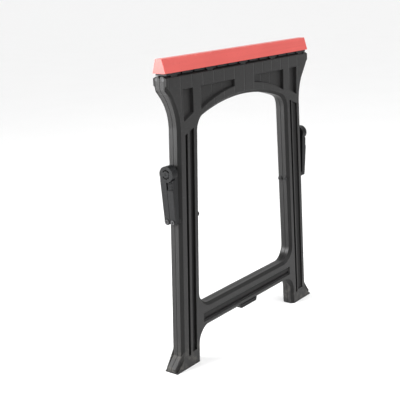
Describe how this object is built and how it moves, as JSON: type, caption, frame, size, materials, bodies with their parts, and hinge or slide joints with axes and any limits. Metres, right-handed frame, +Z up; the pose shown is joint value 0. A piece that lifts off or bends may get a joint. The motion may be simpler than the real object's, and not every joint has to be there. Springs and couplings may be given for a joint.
{
  "type": "folding sawhorse",
  "caption": "Folding workshop sawhorse: ridged top cap on a beam with hinged leg frames, arched window, crossbar and jointed folding braces at the ends.",
  "frame": {"origin": "on the ground, under the middle of the beam, between the folded leg frames", "axes": "+X along the beam, -Y towards the front leg frame, +Z up"},
  "size_m": [0.672, 0.041, 0.806],
  "materials": {
    "leg_black": "satin moulded black plastic with a fine grain",
    "cap_red": "satin moulded red plastic",
    "brace_black": "satin black plastic",
    "rail_black": "matt black plastic",
    "sole_rubber": "dull black rubber",
    "plug_grey": "grey plastic",
    "washer_black": "black nylon",
    "pin_black": "blackened steel",
    "pin_steel": "zinc plated steel"
  },
  "bodies": {
    "top": {"top_cap": "cap_red", "hinge_rail": "rail_black", "rail_screws": "pin_steel", "front_hinge_pin": "pin_steel", "back_hinge_pin": "pin_steel"},
    "front_leg": {"front_leg_frame": "leg_black", "front_pin_plugs": "plug_grey", "front_left_foot_pad": "sole_rubber", "front_right_foot_pad": "sole_rubber", "left_front_leg_pin": "pin_black", "right_front_leg_pin": "pin_black", "left_front_spacer": "washer_black", "right_front_spacer": "washer_black", "left_front_clip": "washer_black", "right_front_clip": "washer_black"},
    "back_leg": {"back_leg_frame": "leg_black", "back_pin_plugs": "plug_grey", "back_left_foot_pad": "sole_rubber", "back_right_foot_pad": "sole_rubber", "left_back_leg_pin": "pin_black", "right_back_leg_pin": "pin_black", "left_back_spacer": "washer_black", "right_back_spacer": "washer_black", "left_back_clip": "washer_black", "right_back_clip": "washer_black"},
    "left_front_link": {"left_front_link": "brace_black", "left_hub_pin": "pin_steel"},
    "left_back_link": {"left_back_link": "brace_black", "left_hub_cap": "brace_black", "left_back_rivet": "pin_black"},
    "right_front_link": {"right_front_link": "brace_black", "right_hub_pin": "pin_steel"},
    "right_back_link": {"right_back_link": "brace_black", "right_hub_cap": "brace_black", "right_back_rivet": "pin_black"}
  },
  "joints": [
    {"name": "front_leg_fold", "type": "hinge", "parent": "top", "child": "front_leg", "pos_m": [0, -0.0103, 0.757], "axis": [-1, 0, 0], "range_deg": [0, 18.77]},
    {"name": "back_leg_fold", "type": "hinge", "parent": "top", "child": "back_leg", "pos_m": [0, 0.0103, 0.757], "axis": [1, 0, 0], "range_deg": [0, 18.79]},
    {"name": "left_front_link_turn", "type": "hinge", "parent": "front_leg", "child": "left_front_link", "pos_m": [-0.305, -0.009, 0.402], "axis": [-1, 0, 0], "range_deg": [0, 67.06]},
    {"name": "left_hub_turn", "type": "hinge", "parent": "left_front_link", "child": "left_back_link", "pos_m": [-0.305, 0, 0.525], "axis": [1, 0, 0], "range_deg": [0, 171.65]},
    {"name": "right_front_link_turn", "type": "hinge", "parent": "front_leg", "child": "right_front_link", "pos_m": [0.305, -0.009, 0.402], "axis": [-1, 0, 0], "range_deg": [0, 67.06]},
    {"name": "right_hub_turn", "type": "hinge", "parent": "right_front_link", "child": "right_back_link", "pos_m": [0.305, 0, 0.525], "axis": [1, 0, 0], "range_deg": [0, 171.65]}
  ],
  "couplings": [
    {"joint": "back_leg_fold", "follows": "front_leg_fold", "ratio": 1},
    {"joint": "left_front_link_turn", "follows": "front_leg_fold", "ratio": 3.5707},
    {"joint": "left_hub_turn", "follows": "front_leg_fold", "ratio": 9.1414},
    {"joint": "right_front_link_turn", "follows": "front_leg_fold", "ratio": 3.5707},
    {"joint": "right_hub_turn", "follows": "front_leg_fold", "ratio": 9.1414}
  ]
}
